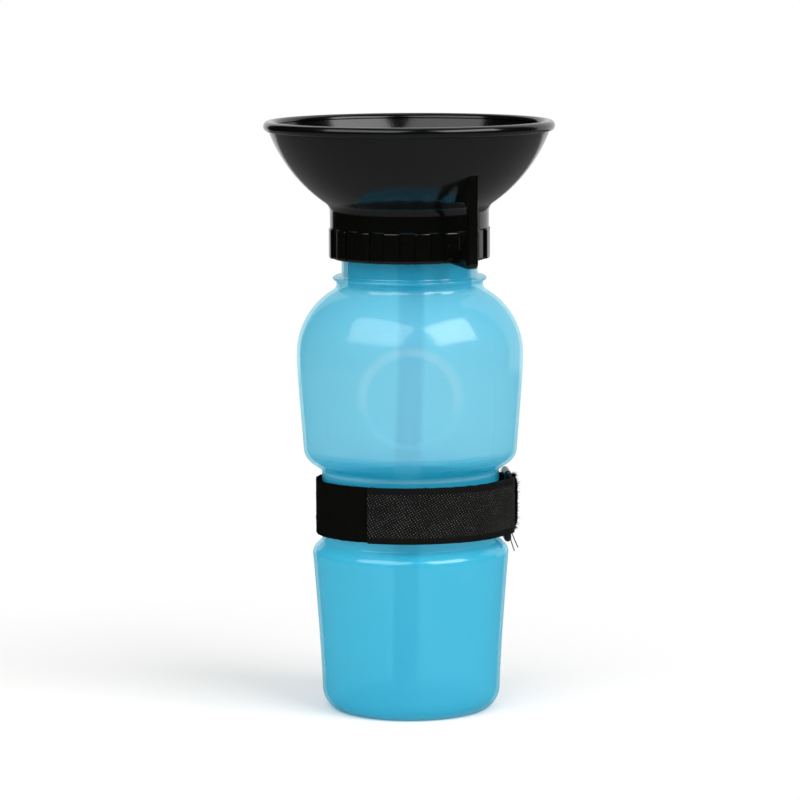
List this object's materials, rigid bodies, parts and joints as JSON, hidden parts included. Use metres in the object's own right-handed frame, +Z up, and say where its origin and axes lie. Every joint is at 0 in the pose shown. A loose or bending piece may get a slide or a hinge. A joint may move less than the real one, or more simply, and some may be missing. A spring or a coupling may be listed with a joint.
{
  "type": "dog travel water bottle",
  "caption": "Squeeze bottle with a drinking bowl screwed on its neck, a dip tube up to a push-pull outlet in the bowl, a belt hook and a hook-and-loop strap in its waist.",
  "frame": {"origin": "centre of the foot, on the surface that the bottle stands on", "axes": "+Z up along the bottle's axis; -Y is the front, the side with the thumb panel; +X is the side with the strap's ring"},
  "size_m": [0.1054, 0.1054, 0.2151],
  "materials": {
    "blue_bottle": "translucent light blue, smooth and softly glossy",
    "seal_rubber": "matt moulded rubber",
    "black_bowl": "polished black",
    "black_cap": "satin black",
    "clear_tube": "milky natural plastic",
    "loop_pile": "brushed loop pile, black",
    "ring_plastic": "moulded black plastic",
    "hook_tape": "woven black tape with a diagonal weave"
  },
  "bodies": {
    "bottle": {"bottle": "blue_bottle"},
    "seal": {"neck_seal": "seal_rubber"},
    "bowl": {"bowl": "black_bowl", "dip_tube": "clear_tube"},
    "cap": {"outlet_cap": "black_cap"},
    "strap": {"strap_band": "loop_pile"},
    "ring": {"strap_ring": "ring_plastic"},
    "tail": {"strap_tail": "hook_tape"}
  },
  "joints": [
    {"name": "bowl_lift", "type": "slide", "parent": "bottle", "child": "seal", "axis": [0, 0, 1], "range_m": [0, 0.0063]},
    {"name": "bowl_turn", "type": "hinge", "parent": "seal", "child": "bowl", "pos_m": [0, 0, 0.174], "axis": [0, 0, 1], "range_deg": [0, 450]},
    {"name": "cap_pull", "type": "slide", "parent": "bowl", "child": "cap", "axis": [0, 0, 1], "range_m": [0, 0.004]},
    {"name": "strap_turn", "type": "hinge", "parent": "bottle", "child": "strap", "pos_m": [0, 0, 0.07435], "axis": [0, 0, 1], "continuous": true},
    {"name": "ring_swing", "type": "hinge", "parent": "strap", "child": "ring", "pos_m": [0.03474, 0.00774, 0.07435], "axis": [0, 0, 1], "range_deg": [0, 30]},
    {"name": "tail_peel", "type": "hinge", "parent": "ring", "child": "tail", "pos_m": [0.03548, -0.00283, 0.07435], "axis": [0, 0, 1], "range_deg": [0, 120]}
  ],
  "couplings": [
    {"joint": "bowl_lift", "follows": "bowl_turn", "m_per_rad": 0.00079577},
    {"joint": "ring_swing", "follows": "tail_peel", "ratio": 0.25}
  ]
}
